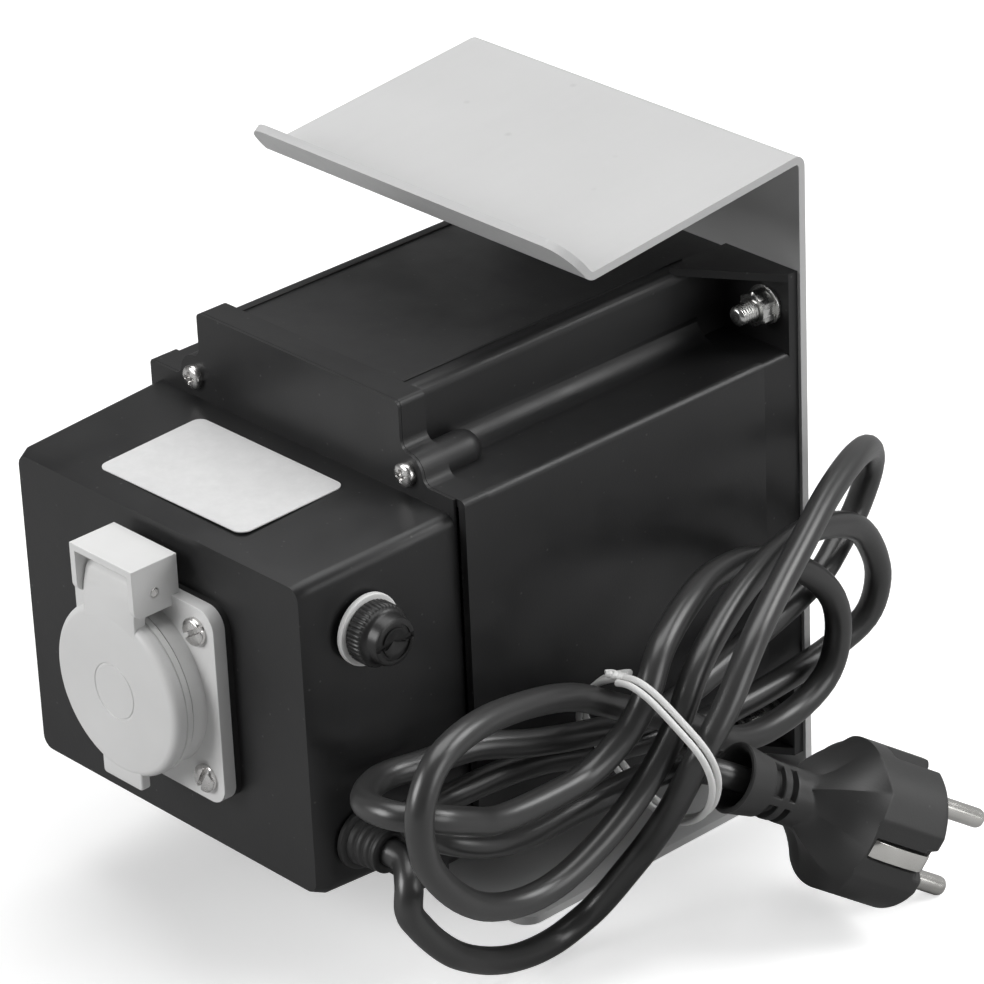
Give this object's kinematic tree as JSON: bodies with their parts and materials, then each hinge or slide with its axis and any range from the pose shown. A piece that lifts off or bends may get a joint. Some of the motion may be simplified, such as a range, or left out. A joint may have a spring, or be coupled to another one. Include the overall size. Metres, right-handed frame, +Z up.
{
  "type": "portable transformer",
  "caption": "Portable mains transformer in a black two-part case, hung in a bent sheet steel carrying bracket, with a lidded socket, a fuse and a tied mains lead.",
  "frame": {"origin": "middle of the carrying bracket's base plate, on its underside, where it stands on the floor", "axes": "+Z up, -Y to the front where the socket outlet is, +X to the right seen from the front, where the fuse, gland and lead are"},
  "size_m": [0.1826, 0.1938, 0.1688],
  "materials": {
    "bracket_paint": "light grey baked paint, slightly satin",
    "zinc_steel": "bright zinc plating",
    "case_plastic": "black moulded plastic, satin, fine grained",
    "screw_steel": "plated steel",
    "label_paper": "white self-adhesive sheet, bare",
    "core_steel": "stacked varnished laminations",
    "bobbin_plastic": "pale moulded plastic",
    "copper_wire": "enamelled copper wire, wound",
    "brass_part": "plain brass",
    "black_rubber": "black rubber",
    "outlet_plastic": "light grey moulded plastic, satin",
    "insert_plastic": "light grey moulded plastic",
    "fuse_plastic": "black moulded plastic",
    "white_plastic": "white plastic",
    "fuse_glass": "glass tube with metal ends",
    "lead_jacket": "black flexible sheath",
    "plug_rubber": "black moulded plug body",
    "pin_nickel": "nickel plated"
  },
  "bodies": {
    "case": {"carry_bracket": "bracket_paint", "bracket_bolts": "zinc_steel", "bracket_washers": "zinc_steel", "bracket_nuts": "zinc_steel", "core_housing": "case_plastic", "terminal_housing": "case_plastic", "housing_screws": "screw_steel", "rating_label": "label_paper", "core_e_stack": "core_steel", "core_i_stack": "core_steel", "bobbin": "bobbin_plastic", "primary_winding": "copper_wire", "secondary_winding": "copper_wire", "thermal_cutout": "bobbin_plastic", "terminal_block": "bobbin_plastic", "terminal_screws": "brass_part", "block_rail": "zinc_steel", "outlet_gasket": "black_rubber", "outlet_flange": "outlet_plastic", "outlet_insert": "insert_plastic", "outlet_contacts": "brass_part", "outlet_earth_clips": "brass_part", "outlet_screws": "screw_steel", "lid_pivot_pin": "screw_steel", "lid_spring": "screw_steel", "fuse_holder": "fuse_plastic", "fuse_gasket": "black_rubber", "fuse_ring": "white_plastic", "fuse_nut": "fuse_plastic", "fuse_tags": "brass_part", "cable_gland": "black_rubber", "gland_clip": "fuse_plastic", "lead_inlet": "lead_jacket", "lead_stretch": "lead_jacket", "lead_hank": "lead_jacket", "lead_tail": "lead_jacket", "twist_tie": "white_plastic", "plug_body": "plug_rubber", "plug_pins": "pin_nickel", "plug_earth_clips": "pin_nickel"},
    "lid": {"outlet_lid": "outlet_plastic", "lid_seal": "black_rubber"},
    "fuse_carrier": {"fuse_link": "fuse_glass"},
    "fuse_cap": {"fuse_cap": "fuse_plastic"}
  },
  "joints": [
    {"name": "lid_hinge", "type": "hinge", "parent": "case", "child": "lid", "pos_m": [0, -0.1162, 0.101], "axis": [-1, 0, 0], "range_deg": [0, 90], "stiffness_Nm_per_rad": 0.006, "springref_deg": -34.38},
    {"name": "fuse_pull", "type": "slide", "parent": "case", "child": "fuse_carrier", "axis": [1, 0, 0], "range_m": [0, 0.024]},
    {"name": "fuse_turn", "type": "hinge", "parent": "fuse_carrier", "child": "fuse_cap", "pos_m": [0.0537, -0.09, 0.097], "axis": [1, 0, 0], "range_deg": [0, 60]}
  ]
}
